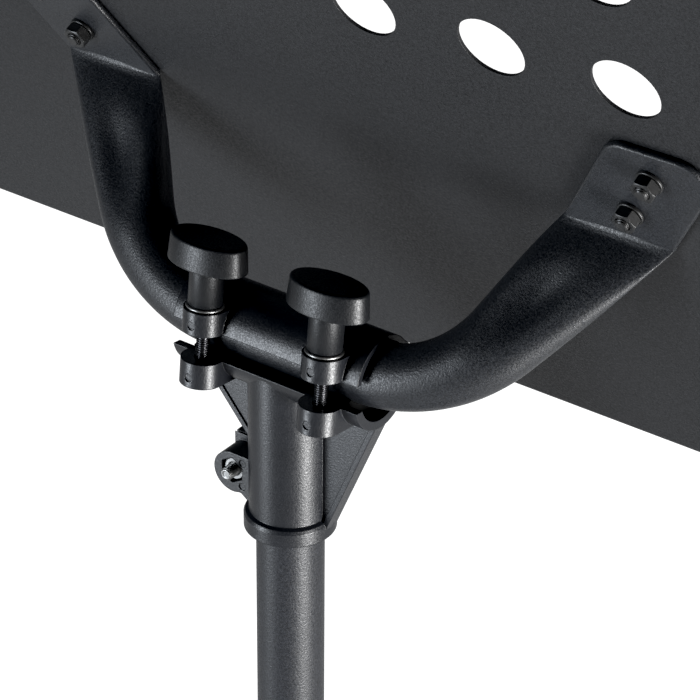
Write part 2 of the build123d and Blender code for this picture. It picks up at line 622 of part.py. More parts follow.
def yoke_section(fraction, wall):
    """Plane, half width and half thickness of the tube a fraction of the way down its pressed length."""
    along = press_from + fraction * YOKE_PRESS_LENGTH
    turn = min(along / YOKE_BEND_R, bend)
    past = max(along - bend_length, 0.0)
    u = YOKE_HALF + YOKE_BEND_R * sin(turn) + past * cos(turn)
    v = YOKE_BEND_R * (1 - cos(turn)) + past * sin(turn)
    square = smooth((fraction - 0.4) / 0.6)
    skew = (radians(90) - turn) * square
    angle = turn - radians(90) + skew
    width_axis = YOKE_PLANE.x_dir * cos(angle) + YOKE_PLANE.y_dir * sin(angle)
    across = YOKE_PLANE.z_dir
    if fraction == 1.0:
        across = (across + DESK_BACK.z_dir).normalized()
    half_width = (YOKE_R + (YOKE_FLAT_HALF - YOKE_R) * smooth(fraction)) / cos(skew)
    half_thick = YOKE_R + (YOKE_FLAT_T / 2 - YOKE_R) * smooth(fraction)
    plane = Plane(origin=YOKE_PLANE.from_local_coords((u, v, 0)), x_dir=width_axis,
                  z_dir=width_axis.cross(across))
    return plane, half_width - wall, half_thick - wall


PRESS_STATIONS = (0.0, 0.2, 0.4, 0.6, 0.8, 1.0)
HOLLOW_STATIONS = (0.0, 0.2, 0.4, 0.6, 0.78)
SECTION_SIDES = 36


def oval(half_width, half_thick):
    """Corners of a many-sided oval, which a loft joins without a twist."""
    turns = [2 * pi * i / SECTION_SIDES for i in range(SECTION_SIDES)]
    return [(half_width * cos(turn), half_thick * sin(turn)) for turn in turns]


with BuildPart() as yoke_tube:
    with BuildLine(YOKE_PLANE) as middle:
        CenterArc((YOKE_HALF, YOKE_BEND_R), YOKE_BEND_R, -90, press_turn)
    with BuildSketch(Plane.YZ.offset(YOKE_HALF)):
        with Locations((0, TILT_Z)):
            Circle(YOKE_R)
            Circle(YOKE_R - YOKE_WALL, mode=Mode.SUBTRACT)
    sweep(path=middle.wire())
    for station in PRESS_STATIONS:
        plane, half_width, half_thick = yoke_section(station, 0.0)
        with BuildSketch(plane):
            Polygon(*oval(half_width, half_thick), align=None)
    loft()
    for station in HOLLOW_STATIONS:
        plane, half_width, half_thick = yoke_section(station, YOKE_WALL)
        with BuildSketch(plane):
            Polygon(*oval(half_width, half_thick), align=None)
    loft(mode=Mode.SUBTRACT)
    # the flat tab, bent at the crease to lie along the desk
    splay = radians(TAB_SPLAY)
    flat = (YOKE_FLAT_HALF / cos(radians(90) - bend)) - 0.3
    with BuildSketch(DESK_BACK):
        foot = CREASE_D
        top = CREASE_D + TAB_LENGTH * cos(splay)
        shift = TAB_LENGTH * sin(splay)
        Polygon((crease_u - flat, foot), (crease_u + flat, foot), (crease_u + flat + shift, top),
                (crease_u - flat + shift, top), align=None)
        fillet(vertices().group_by(Axis.Y)[-1], 12.0)
    extrude(amount=YOKE_FLAT_T)
    with BuildSketch(Plane.YZ.offset(crease_u - flat)):
        with Locations((crease_y, crease_z)):
            Circle(YOKE_FLAT_T / 2)
    extrude(amount=2 * flat)
    with BuildSketch(DESK_BACK.offset(-5.0)):
        with Locations(*[tab_point(1, along) for along in TAB_BOLTS]):
            Circle(SCREW_R + 0.2)
    extrude(amount=20.0, mode=Mode.SUBTRACT)
    mirror(about=Plane.YZ)
    with BuildSketch(Plane.YZ.offset(-YOKE_HALF)):
        with Locations((0, TILT_Z)):
            Circle(YOKE_R)
            Circle(YOKE_R - YOKE_WALL, mode=Mode.SUBTRACT)
    extrude(amount=2 * YOKE_HALF)
    with Locations((0, 0, TILT_Z)):
        Cylinder(2.5, YOKE_R + 1.0, align=(Align.CENTER, Align.CENTER, Align.MAX), mode=Mode.SUBTRACT)
save(yoke_tube, "yoke_tube")

BOLT_HEAD_R = 5.5
BOLT_HEAD_H = 3.3
with BuildPart() as yoke_bolts:
    for side in (-1, 1):
        for along in TAB_BOLTS:
            with BuildSketch(DESK_BACK.offset(-SHEET)):
                with Locations(tab_point(side, along)):
                    Circle(BOLT_HEAD_R)
            extrude(amount=-BOLT_HEAD_H)
            with BuildSketch(DESK_BACK.offset(-SHEET)):
                with Locations(tab_point(side, along)):
                    Circle(SCREW_R)
            extrude(amount=SHEET + YOKE_FLAT_T + WASHER_T + M6_NUT_H + 1.5)
    fillet(circles_over(yoke_bolts, BOLT_HEAD_R - 1).group_by(across_sheet)[-1], 1.8)
save(yoke_bolts, "yoke_bolts")

with BuildPart() as yoke_washers:
    for side in (-1, 1):
        for along in TAB_BOLTS:
            with BuildSketch(DESK_BACK.offset(YOKE_FLAT_T)):
                with Locations(tab_point(side, along)):
                    Circle(6.0)
                    Circle(SCREW_R + 0.2, mode=Mode.SUBTRACT)
            extrude(amount=WASHER_T)
save(yoke_washers, "yoke_washers")

with BuildPart() as yoke_nuts:
    for side in (-1, 1):
        for along in TAB_BOLTS:
            with BuildSketch(DESK_BACK.offset(YOKE_FLAT_T + WASHER_T)):
                with Locations(tab_point(side, along)):
                    hexagon(M6_FLATS)
                    Circle(SCREW_R, mode=Mode.SUBTRACT)
            extrude(amount=M6_NUT_H)
save(yoke_nuts, "yoke_nuts")
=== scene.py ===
import json
import math
import bmesh
import bpy
from mathutils import Matrix, Vector


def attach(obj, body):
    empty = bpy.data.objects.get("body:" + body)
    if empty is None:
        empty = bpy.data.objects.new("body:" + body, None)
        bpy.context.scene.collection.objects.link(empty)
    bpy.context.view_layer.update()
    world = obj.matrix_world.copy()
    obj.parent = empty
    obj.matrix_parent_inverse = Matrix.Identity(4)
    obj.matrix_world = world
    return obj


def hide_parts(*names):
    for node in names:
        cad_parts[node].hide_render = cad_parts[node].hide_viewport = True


# Orchestra music stand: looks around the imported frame. Metres, +Z up, the musician on the +Y side.

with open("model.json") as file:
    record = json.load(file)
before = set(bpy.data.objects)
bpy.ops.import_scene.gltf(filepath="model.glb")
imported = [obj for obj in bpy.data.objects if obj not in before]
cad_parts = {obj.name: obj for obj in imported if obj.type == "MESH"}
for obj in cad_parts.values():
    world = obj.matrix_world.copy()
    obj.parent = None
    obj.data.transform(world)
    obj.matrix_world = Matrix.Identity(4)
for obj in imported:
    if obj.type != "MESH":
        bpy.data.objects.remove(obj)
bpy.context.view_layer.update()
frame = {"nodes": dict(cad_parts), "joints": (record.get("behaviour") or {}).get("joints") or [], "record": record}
NODES = frame["nodes"]
JOINTS = {joint["name"]: joint for joint in frame["joints"]}
MM = 0.001
SIDES = ("left", "right")


# ---------------------------------------------------------------- camera

HEAD_Z = 0.700                        # lower rim of the tilt head
CAMERA_ELEVATION = math.radians(30.714)
CAMERA_AZIMUTH = math.radians(36.101)
CAMERA_ROLL = math.radians(0.537)
CAMERA_DISTANCE = 1.318834
CAMERA_SLIDE = (0.025805, 0.074402)   # of the aim, right and up in the picture, from the head's rim
CAMERA_LENS = 156.55


def make_camera():
    """Looks down at the tilt head from behind the stand, on its +X side."""
    back = Vector((math.sin(CAMERA_AZIMUTH) * math.cos(CAMERA_ELEVATION),
                   -math.cos(CAMERA_AZIMUTH) * math.cos(CAMERA_ELEVATION),
                   math.sin(CAMERA_ELEVATION)))
    level = Vector((math.cos(CAMERA_AZIMUTH), math.sin(CAMERA_AZIMUTH), 0))
    rise = back.cross(level)
    right = level * math.cos(CAMERA_ROLL) + rise * math.sin(CAMERA_ROLL)
    up = back.cross(right)
    data = bpy.data.cameras.new("camera")
    data.lens = CAMERA_LENS
    data.sensor_width = 36.0
    data.clip_end = 50.0
    camera = bpy.data.objects.new("camera", data)
    bpy.context.scene.collection.objects.link(camera)
    place = Vector((0, 0, HEAD_Z)) + back * CAMERA_DISTANCE + right * CAMERA_SLIDE[0] + up * CAMERA_SLIDE[1]
    turn = Matrix((right, up, back)).transposed().to_4x4()
    camera.matrix_world = Matrix.Translation(place) @ turn
    bpy.context.scene.camera = camera


# ---------------------------------------------------------------- materials

class Shader:
    """A Principled material whose textures lie in the object's own space, in metres."""

    def __init__(self, name, color, roughness, metallic=0.0, specular=0.5):
        self.material = bpy.data.materials.new(name)
        self.material.use_nodes = True
        self.tree = self.material.node_tree
        self.shader = self.tree.nodes["Principled BSDF"]
        self.place = self.add("ShaderNodeTexCoord").outputs["Object"]
        self.color = color
        self.shader.inputs["Base Color"].default_value = (*color, 1.0)
        self.shader.inputs["Roughness"].default_value = roughness
        self.shader.inputs["Metallic"].default_value = metallic
        self.shader.inputs["Specular IOR Level"].default_value = specular
        self.normal = None

    def add(self, kind, **settings):
        node = self.tree.nodes.new(kind)
        for key, value in settings.items():
            setattr(node, key, value)
        return node

    def link(self, source, target):
        self.tree.links.new(source, target)

    def noise(self, size, detail=2.0, roughness=0.5, stretch=None):
        """Noise with features about size metres across, stretched along the axes if asked."""
        place = self.place
        if stretch:
            mapping = self.add("ShaderNodeMapping")
            mapping.inputs["Scale"].default_value = stretch
            self.link(place, mapping.inputs["Vector"])
            place = mapping.outputs["Vector"]
        node = self.add("ShaderNodeTexNoise")
        node.inputs["Scale"].default_value = 1.0 / size
        node.inputs["Detail"].default_value = detail
        node.inputs["Roughness"].default_value = roughness
        self.link(place, node.inputs["Vector"])
        return node.outputs["Fac"]

    def remap(self, value, low, high, to_low, to_high):
        node = self.add("ShaderNodeMapRange")
        node.inputs["From Min"].default_value = low
        node.inputs["From Max"].default_value = high
        node.inputs["To Min"].default_value = to_low
        node.inputs["To Max"].default_value = to_high
        self.link(value, node.inputs["Value"])
        return node.outputs["Result"]

    def vary_color(self, value, low, high, dark, light):
        """Base colour from dark to light shares of the material's colour as value goes from low to high."""
        share = self.remap(value, low, high, 0.0, 1.0)
        mix = self.add("ShaderNodeMix", data_type="RGBA")
        mix.inputs["A"].default_value = (*[c * dark for c in self.color], 1.0)
        mix.inputs["B"].default_value = (*[c * light for c in self.color], 1.0)
        self.link(share, mix.inputs["Factor"])
        self.link(mix.outputs["Result"], self.shader.inputs["Base Color"])

    def vary_roughness(self, value, low, high, smooth, rough):
        """Roughness from smooth to rough as value goes from low to high."""
        self.link(self.remap(value, low, high, smooth, rough), self.shader.inputs["Roughness"])

    def round_edges(self, radius):
        """Shades sharp edges as if rounded. It comes before any bump."""
        node = self.add("ShaderNodeBevel", samples=8)
        node.inputs["Radius"].default_value = radius
        self.normal = node.outputs["Normal"]
        self.link(self.normal, self.shader.inputs["Normal"])

    def bump(self, value, depth, strength=1.0):
        node = self.add("ShaderNodeBump")
        node.inputs["Distance"].default_value = depth
        node.inputs["Strength"].default_value = strength
        self.link(value, node.inputs["Height"])
        if self.normal is not None:
            self.link(self.normal, node.inputs["Normal"])
        self.normal = node.outputs["Normal"]
        self.link(self.normal, self.shader.inputs["Normal"])


def desk_paint():
    """Smooth satin powder coat on folded sheet: a soft orange peel and a very fine speckle."""
    m = Shader("desk_paint", (0.0100, 0.0103, 0.0112), 0.50, specular=0.28)
    m.round_edges(0.4 * MM)
    m.vary_color(m.noise(1.1 * MM, 2.0), 0.3, 0.7, 0.55, 1.45)
    m.vary_roughness(m.noise(1.0 * MM, 1.0), 0.3, 0.7, 0.38, 0.62)
    m.bump(m.noise(2.2 * MM, 2.0), 0.012 * MM, 0.6)
    m.bump(m.noise(0.9 * MM, 1.0), 0.16 * MM, 0.9)
    return m.material


def sandy(name, base, grain, depth, specular):
    """Textured powder coat: a fine sandy grain with small bright facets."""
    m = Shader(name, base, 0.46, specular=specular)
    m.round_edges(0.4 * MM)
    m.vary_color(m.noise(grain, 3.0), 0.35, 0.65, 0.6, 1.5)
    m.vary_roughness(m.noise(grain * 0.8, 1.0), 0.35, 0.65, 0.30, 0.56)
    m.bump(m.noise(grain, 1.0), depth, 0.9)
    return m.material


def moulded(name, base, roughness, grain, specular):
    """Glass-filled nylon with the fine spark-eroded grain of its mould."""
    m = Shader(name, base, roughness, specular=specular)
    m.round_edges(0.6 * MM)
    m.vary_color(m.noise(14 * MM, 4.0), 0.3, 0.7, 0.85, 1.15)
    m.vary_roughness(m.noise(grain * 0.8, 1.0), 0.35, 0.65, roughness - 0.08, roughness + 0.09)
    m.bump(m.noise(grain, 1.0), 0.082 * MM, 0.9)
    return m.material


def inner_nylon():
    """Natural acetal with fine turning marks."""
    m = Shader("inner_nylon", (0.62, 0.60, 0.55), 0.45)
    m.round_edges(0.3 * MM)
    m.vary_color(m.noise(8 * MM, 3.0), 0.3, 0.7, 0.92, 1.04)
    m.bump(m.noise(0.5 * MM, 2.0, stretch=(1.0, 1.0, 6.0)), 0.01 * MM, 0.6)
    return m.material


def rubber(name, grain, shade, specular):
    m = Shader(name, (shade, shade, shade), 0.78, specular=specular)
    m.round_edges(0.5 * MM)
    m.vary_color(m.noise(6 * MM, 4.0), 0.3, 0.7, 0.8, 1.3)
    m.vary_roughness(m.noise(3 * MM, 3.0), 0.3, 0.7, 0.66, 0.86)
    m.bump(m.noise(grain, 3.0), 0.05 * MM, 0.6)
    return m.material


def base_casting():
    """Matt paint over a cast skin: a low, uneven grain."""
    m = Shader("base_casting", (0.013, 0.013, 0.0135), 0.52, specular=0.35)
    m.round_edges(0.8 * MM)
    m.vary_color(m.noise(25 * MM, 4.0), 0.3, 0.7, 0.85, 1.2)
    m.vary_roughness(m.noise(1.2 * MM, 4.0), 0.3, 0.7, 0.44, 0.62)
    m.bump(m.noise(5.0 * MM, 3.0), 0.10 * MM, 0.5)
    m.bump(m.noise(1.1 * MM, 3.0, 0.6), 0.08 * MM, 0.7)
    return m.material


def zinc_steel():
    """Bright zinc plate, a little mottled."""
    m = Shader("zinc_steel", (0.25, 0.25, 0.246), 0.40, metallic=1.0)
    m.round_edges(0.15 * MM)
    m.vary_color(m.noise(1.6 * MM, 3.0), 0.3, 0.7, 0.60, 1.10)
    m.vary_roughness(m.noise(2 * MM, 2.0), 0.3, 0.7, 0.34, 0.45)
    return m.material


def dark_steel():
    """Oiled screw steel."""
    m = Shader("dark_steel", (0.11, 0.11, 0.115), 0.30, metallic=1.0)
    m.vary_color(m.noise(7 * MM, 3.0), 0.3, 0.7, 0.85, 1.1)
    m.vary_roughness(m.noise(4 * MM, 2.0), 0.3, 0.7, 0.26, 0.34)
    return m.material


def bolt_paint():
    """Black oxide on bolts, nuts and washers."""
    m = Shader("bolt_paint", (0.03, 0.03, 0.03), 0.36, metallic=0.6)
    m.round_edges(0.3 * MM)
    m.vary_color(m.noise(4 * MM, 3.0), 0.3, 0.7, 0.8, 1.2)
    m.vary_roughness(m.noise(2 * MM, 2.0), 0.3, 0.7, 0.30, 0.42)
    return m.material


MATERIALS = {
    "desk_paint": desk_paint(),
    "yoke_powder": sandy("yoke_powder", (0.0085, 0.0094, 0.0112), 0.85 * MM, 0.14 * MM, 0.40),
    "column_paint": sandy("column_paint", (0.0085, 0.0094, 0.0118), 0.9 * MM, 0.13 * MM, 0.42),
    "black_nylon": moulded("black_nylon", (0.0070, 0.0078, 0.0098), 0.36, 0.85 * MM, 0.40),
    "knob_nylon": moulded("knob_nylon", (0.0052, 0.0057, 0.0066), 0.40, 0.85 * MM, 0.30),
    "inner_nylon": inner_nylon(),
    # painted shade: the saddle's rubber is kept near black, darker than the feet's, so that its key-lit end face
    # stays dark
    "saddle_rubber": rubber("saddle_rubber", 0.8 * MM, 0.003, 0.06),
    "foot_rubber": rubber("foot_rubber", 1.4 * MM, 0.009, 0.25),
    "base_casting": base_casting(),
    "zinc_steel": zinc_steel(),
    "dark_steel": dark_steel(),
    "bolt_paint": bolt_paint(),
}


def dress_nodes():
    """Gives each CAD node the material of its record slot."""
    for entry in frame["record"]["subparts"]:
        node = NODES[entry["node"]]
        for place in node.material_slots:
            place.material = MATERIALS[entry["material_slot"]]


# ---------------------------------------------------------------- studio

LIGHT_AIM = Vector((0, 0, HEAD_Z + 0.08))
BLACK_LEVEL = 0.005
GLOW_SEEN = 0.95                      # floor and sky as the camera sees them
FLOOR_GLOW_ON_STAND = 0.30            # and as each lights the stand
SKY_GLOW_ON_STAND = 0.008
FLOOR_SIZE = 30.0
NEUTRAL = (1.0, 1.0, 1.0)
COOL = (0.87, 0.93, 1.0)
SOFTBOXES = (                         # name, bearing, distance, height, (width, height), power, tint
    ("key_right", (0.985, -0.17), 1.3, 0.40, (0.48, 0.75), 52.0, NEUTRAL),
    ("fill_left", (-0.52, -0.85), 1.4, 0.62, (0.42, 1.15), 26.5, COOL),
    ("rear_fill", (0.80, 0.60), 2.4, 0.9, (1.2, 1.2), 2.5, NEUTRAL),
    ("musician_side", (-0.10, 1.0), 2.2, 2.0, (2.0, 1.4), 60.0, NEUTRAL),
)


def softbox(name, bearing, distance, height, size, power, tint):
    """An area light on a level bearing from the column, turned to face the clamp."""
    data = bpy.data.lights.new(name, "AREA")
    data.shape = "RECTANGLE"
    data.size, data.size_y = size
    data.energy = power
    data.color = tint
    light = bpy.data.objects.new(name, data)
    light.visible_camera = False
    bpy.context.scene.collection.objects.link(light)
    level = Vector((*bearing, 0)).normalized() * distance
    light.location = Vector((level.x, level.y, height))
    light.rotation_euler = (light.location - LIGHT_AIM).to_track_quat("Z", "Y").to_euler()


def make_tones():
    """Plain tones with the deepest blacks pulled down."""
    view = bpy.context.scene.view_settings
    view.view_transform = "Standard"
    view.look = "None"
    view.use_curve_mapping = True
    view.curve_mapping.black_level = (BLACK_LEVEL,) * 3
    view.curve_mapping.update()


def make_sky():
    """White to the camera and nearly dark to the stand."""
    world = bpy.data.worlds.new("studio")
    bpy.context.scene.world = world
    world.use_nodes = True
    sky = world.node_tree
    backdrop = sky.nodes["Background"]
    backdrop.inputs["Color"].default_value = (1, 1, 1, 1)
    level = sky.nodes.new("ShaderNodeMapRange")
    level.inputs["To Min"].default_value = SKY_GLOW_ON_STAND
    level.inputs["To Max"].default_value = GLOW_SEEN
    path = sky.nodes.new("ShaderNodeLightPath")
    sky.links.new(path.outputs["Is Camera Ray"], level.inputs["Value"])
    sky.links.new(level.outputs["Result"], backdrop.inputs["Strength"])


def make_floor():
    """White paper, which lights the stand less than it shows."""
    bpy.ops.mesh.primitive_plane_add(size=FLOOR_SIZE, location=(0, 0, 0))
    floor = bpy.context.object
    floor.name = "floor"
    paper = Shader("floor_paper", (0.30, 0.30, 0.30), 0.9, specular=0.1)
    paper.shader.inputs["Emission Color"].default_value = (1, 1, 1, 1)
    seen = paper.add("ShaderNodeLightPath").outputs["Is Camera Ray"]
    glow = paper.remap(seen, 0.0, 1.0, FLOOR_GLOW_ON_STAND, GLOW_SEEN)
    paper.link(glow, paper.shader.inputs["Emission Strength"])
    floor.data.materials.append(paper.material)


# ---------------------------------------------------------------- turned and threaded pieces

def new_piece(name, body, slot, build, replaced):
    """A mesh made by build, on a body, with a slot's material, in place of the CAD nodes replaced."""
    mesh = bpy.data.meshes.new(name)
    work = bmesh.new()
    build(work)
    bmesh.ops.recalc_face_normals(work, faces=work.faces)
    work.to_mesh(mesh)
    work.free()
    mesh.materials.append(MATERIALS[slot])
    piece = bpy.data.objects.new(name, mesh)
    bpy.context.scene.collection.objects.link(piece)
    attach(piece, body)
    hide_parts(*replaced)


def frame_on(axis, origin):
    """A matrix whose Z is the axis and whose origin is the point."""
    z = Vector(axis).normalized()
    x = Vector((1, 0, 0)) if abs(z.x) < 0.9 else Vector((0, 1, 0))
    x = (x - z * x.dot(z)).normalized()
    y = z.cross(x)
    turn = Matrix((x, y, z)).transposed().to_4x4()
    return Matrix.Translation(Vector(origin)) @ turn


def ring(work, matrix, long, short, height, sides):
    """A round or oval ring about the matrix's Z, or one vertex where long is 0."""
    if long == 0:
        return [work.verts.new(matrix @ Vector((0, 0, height)))]
    turns = [2 * math.pi * i / sides for i in range(sides)]
    points = [Vector((long * math.cos(a), short * math.sin(a), height)) for a in turns]
    return [work.verts.new(matrix @ point) for point in points]


def lathe(work, matrix, profile, sides):
    """Turns a list of (radius, height) about the matrix's Z. A radius of 0 closes that end."""
    rings = [ring(work, matrix, radius, radius, height, sides) for radius, height in profile]
    join_rings(work, rings, sides, True)


def join_rings(work, rings, sides, smooth):
    """Faces between each ring and the next. A ring of one vertex makes a fan of triangles."""
    for low, high in zip(rings, rings[1:]):
        for i in range(sides):
            j = (i + 1) % sides
            corners = [low[i % len(low)], low[j % len(low)], high[j % len(high)], high[i % len(high)]]
            loop = [v for k, v in enumerate(corners) if v not in corners[:k]]
            work.faces.new(loop).smooth = smooth


def arc(center, radius, start, end, steps):
    """Points on an arc in (radius, height), angles in degrees."""
    points = []
    for i in range(steps + 1):
        a = math.radians(start + (end - start) * i / steps)
        points.append((center[0] + radius * math.cos(a), center[1] + radius * math.sin(a)))
    return points


THREAD_ROWS = 14                      # rows of vertices in one pitch
THREAD_SIDES = 48
THREAD_DEPTH = 0.6134                 # shares of the pitch: depth, flat at crest and root, end chamfer
THREAD_FLAT = 0.12
THREAD_CHAMFER = 0.7
DISH_FLOOR = 0.42                     # shares of the radius: floor and rim of a dished end
DISH_RIM = 0.56


def thread_radius(radius, pitch, phase):
    """Radius of a metric thread at a phase of 0 to 1 along one pitch."""
    fall = abs(phase - 0.5) * 2
    share = (fall - THREAD_FLAT) / (1 - 2 * THREAD_FLAT)
    return radius - THREAD_DEPTH * pitch * min(max(share, 0.0), 1.0)


def threaded_rod(work, matrix, radius, pitch, start, end, dish=0.0):
    """A threaded bar along the matrix's Z with chamfered ends, its start hollowed to the dish's depth."""
    chamfer = THREAD_CHAMFER * pitch
    rows = int((end - start) / pitch * THREAD_ROWS)
    rings = [[work.verts.new(matrix @ Vector((0, 0, start + dish)))]]
    if dish:
        for share, height in ((DISH_FLOOR, start + dish), (DISH_RIM, start)):
            rings.append(ring(work, matrix, radius * share, radius * share, height, THREAD_SIDES))
    for row in range(rows + 1):
        height = start + (end - start) * row / rows
        edge = min(height - start, end - height)
        limit = radius - max(chamfer - edge, 0.0)
        turn_of_thread = []
        for i in range(THREAD_SIDES):
            turn = i / THREAD_SIDES
            phase = ((height / pitch) - turn) % 1.0
            r = min(thread_radius(radius, pitch, phase), limit)
            angle = 2 * math.pi * turn
            point = Vector((r * math.cos(angle), r * math.sin(angle), height))
            turn_of_thread.append(work.verts.new(matrix @ point))
        rings.append(turn_of_thread)
    rings.append([work.verts.new(matrix @ Vector((0, 0, end)))])
    join_rings(work, rings, THREAD_SIDES, True)
    for face in work.faces:
        if len(face.verts) == 3:
            face.smooth = False


HEX_SIDES = 72
HEX_CROWN = 0.95                      # the faces' round edge, as a share of half the width across flats
HEX_SLOPE = math.tan(math.radians(30))  # of the turned-off corners
BORE_CHAMFER = 0.5 * MM


def hex_radius(flats, angle):
    """Distance from the middle to a hexagon's side at an angle."""
    sixth = math.pi / 3
    return flats / 2 / math.cos((angle % sixth) - sixth / 2)


def hex_piece(work, matrix, flats, low, high, bore, turn=0.0, chamfers=(True, True)):
    """A hexagon nut, or a bolt head where bore is 0, with its corners turned off at the chamfered ends."""
    crown = flats / 2 * HEX_CROWN
    turned = matrix @ Matrix.Rotation(turn, 4, "Z")

    def cut_ring(height, way, chamfered):
        """The hexagon at a face, way 1 for the top and -1 for the bottom."""
        points = []
        for i in range(HEX_SIDES):
            a = 2 * math.pi * i / HEX_SIDES
            r = hex_radius(flats, a)
            drop = (r - crown) * HEX_SLOPE if chamfered else 0.0
            point = Vector((r * math.cos(a), r * math.sin(a), height - way * drop))
            points.append(work.verts.new(turned @ point))
        return points

    def circle(radius, height):
        return ring(work, turned, radius, radius, height, HEX_SIDES)

    rings = []
    if bore:
        rings += [circle(bore, low + BORE_CHAMFER), circle(bore + BORE_CHAMFER, low)]
    else:
        rings.append(circle(0, low))
    rings += [circle(crown, low), cut_ring(low, -1, chamfers[0]), cut_ring(high, 1, chamfers[1]),
              circle(crown, high)]
    if bore:
        rings += [circle(bore + BORE_CHAMFER, high), circle(bore, high - BORE_CHAMFER), rings[0]]
    else:
        rings.append(circle(0, high))
    join_rings(work, rings, HEX_SIDES, False)


# ---------------------------------------------------------------- clamp screws, knobs and washers

EAR_TOP = 15.0 * MM                   # heights along a clamp screw, from its joint's point
WASHER_R = 8.3 * MM
WASHER_T = 1.6 * MM
KNOB_NECK_R = 7.5 * MM
KNOB_LONG = 19.3 * MM                 # half length of the oval head along the tilt axis
KNOB_SHORT = 11.9 * MM
KNOB_DRAFT = 0.8 * MM
KNOB_HEAD_FROM = 34.4 * MM
KNOB_H = 12.2 * MM
KNOB_FOOT_EDGE = 0.4 * MM             # chamfer under the neck
KNOB_WEB = 1.0 * MM                   # roundings of neck into head, of the lower rim and the upper
KNOB_UNDER = 0.6 * MM
KNOB_RIM = 1.5 * MM
KNOB_TOP_RING = 0.55                  # a ring that keeps the flat top's shading flat, a share of KNOB_SHORT
KNOB_SIDES = 144
M6_R = 3.0 * MM
M6_PITCH = 1.0 * MM
M6_WASHER_BORE = M6_R + 0.2 * MM
SCREW_SPAN = (-21.5 * MM, 26.0 * MM)


def oval_knob(work, matrix):
    """A round neck under an oval head that narrows a little to its rounded top edge."""
    foot = EAR_TOP + WASHER_T
    top = KNOB_HEAD_FROM + KNOB_H
    neck = [(0, foot), (KNOB_NECK_R - KNOB_FOOT_EDGE, foot), (KNOB_NECK_R, foot + KNOB_FOOT_EDGE),
            *arc((KNOB_NECK_R + KNOB_WEB, KNOB_HEAD_FROM - KNOB_WEB), KNOB_WEB, 180, 90, 5)]
    head = [*arc((-KNOB_UNDER, KNOB_HEAD_FROM + KNOB_UNDER), KNOB_UNDER, -90, 0, 4),
            *arc((-KNOB_RIM - KNOB_DRAFT, top - KNOB_RIM), KNOB_RIM, 0, 90, 7),
            ((KNOB_TOP_RING - 1) * KNOB_SHORT, top)]
    rings = [ring(work, matrix, radius, radius, height, KNOB_SIDES) for radius, height in neck]
    rings += [ring(work, matrix, KNOB_LONG + inset, KNOB_SHORT + inset, height, KNOB_SIDES)
              for inset, height in head]
    rings.append(ring(work, matrix, 0, 0, top, KNOB_SIDES))
    join_rings(work, rings, KNOB_SIDES, True)


def make_clamp(side):
    """Knob, screw and washer of one side, on the line of their joint."""
    joint = JOINTS[f"clamp_turn_{side}"]
    matrix = frame_on(joint["axis"], joint["pos_m"])
    knob = f"knob_{side}"
    new_piece(f"clamp_knob_{side}_turned", knob, "knob_nylon",
              lambda work: oval_knob(work, matrix), [f"clamp_knob_{side}"])
    new_piece(f"clamp_screw_{side}_thread", knob, "dark_steel",
              lambda work: threaded_rod(work, matrix, M6_R, M6_PITCH, *SCREW_SPAN), [f"clamp_screw_{side}"])
    edge = WASHER_T / 2
    section = [(M6_WASHER_BORE, EAR_TOP), *arc((WASHER_R - edge, EAR_TOP + edge), edge, -90, 90, 8),
               (M6_WASHER_BORE, EAR_TOP + WASHER_T), (M6_WASHER_BORE, EAR_TOP)]
    new_piece(f"clamp_washer_{side}_pressed", f"washer_{side}", "zinc_steel",
              lambda work: lathe(work, matrix, section, 96), [f"clamp_washer_{side}"])


# ---------------------------------------------------------------- fasteners

M6_FLATS = 10.0 * MM
M6_NUT_H = 5.0 * MM
M6_NUT_BORE = M6_R + 0.05 * MM        # keeps the nut's faces clear of the thread's crests
M6_WASHER_R = 6.0 * MM
WASHER_EDGE = 0.3                     # rounding of a plain washer's rims, as a share of its thickness
HEX_TURN = math.pi / 6                # brings a hexagon's corner to where its side was
TRAP_FROM = -19.4 * MM                # foot of the clamp nuts, along a clamp screw
LUG = Vector((-24.8, 0.0, 721.6)) * MM  # on the pinch bolt's line, which runs along Y
SLEEVE_NUT_Y = (-7.6 * MM, -2.6 * MM)
SLEEVE_BOLT_Y = (-13.6 * MM, 11.6 * MM)
SLEEVE_BOLT_DISH = 0.35 * MM
SLEEVE_WASHER_Y = (10.0 * MM, 11.6 * MM)
BOLT_HEAD_H = 4.0 * MM
DESK_LEAN = math.radians(25.2)
DESK_BACKWARD = Vector((0, -math.cos(DESK_LEAN), -math.sin(DESK_LEAN)))
SHEET_T = 1.5 * MM
CUP_H = 3.3 * MM                      # height of a yoke bolt's cup head
BOLT_BEYOND = 1.5 * MM                # how far a yoke bolt stands out of its nut


def island_centers(name):
    """Middles of the boxes round the separate solids of a CAD node."""
    work = bmesh.new()
    work.from_mesh(NODES[name].data)
    work.transform(NODES[name].matrix_world)
    bmesh.ops.remove_doubles(work, verts=work.verts, dist=1e-6)
    waiting = set(work.verts)
    centers = []
    while waiting:
        front = [waiting.pop()]
        found = []
        while front:
            vertex = front.pop()
            found.append(vertex.co.copy())
            for edge in vertex.link_edges:
                other = edge.other_vert(vertex)
                if other in waiting:
                    waiting.remove(other)
                    front.append(other)
        low = Vector([min(co[i] for co in found) for i in range(3)])
        high = Vector([max(co[i] for co in found) for i in range(3)])
        centers.append((low + high) / 2)
    work.free()
    return centers


def washer(work, matrix, low, high):
    """A plain M6 washer between two heights."""
    edge = (high - low) * WASHER_EDGE
    section = [(M6_WASHER_BORE, low), *arc((M6_WASHER_R - edge, low + edge), edge, -90, 0, 4),
               *arc((M6_WASHER_R - edge, high - edge), edge, 0, 90, 4),
               (M6_WASHER_BORE, high), (M6_WASHER_BORE, low)]
    lathe(work, matrix, section, 64)


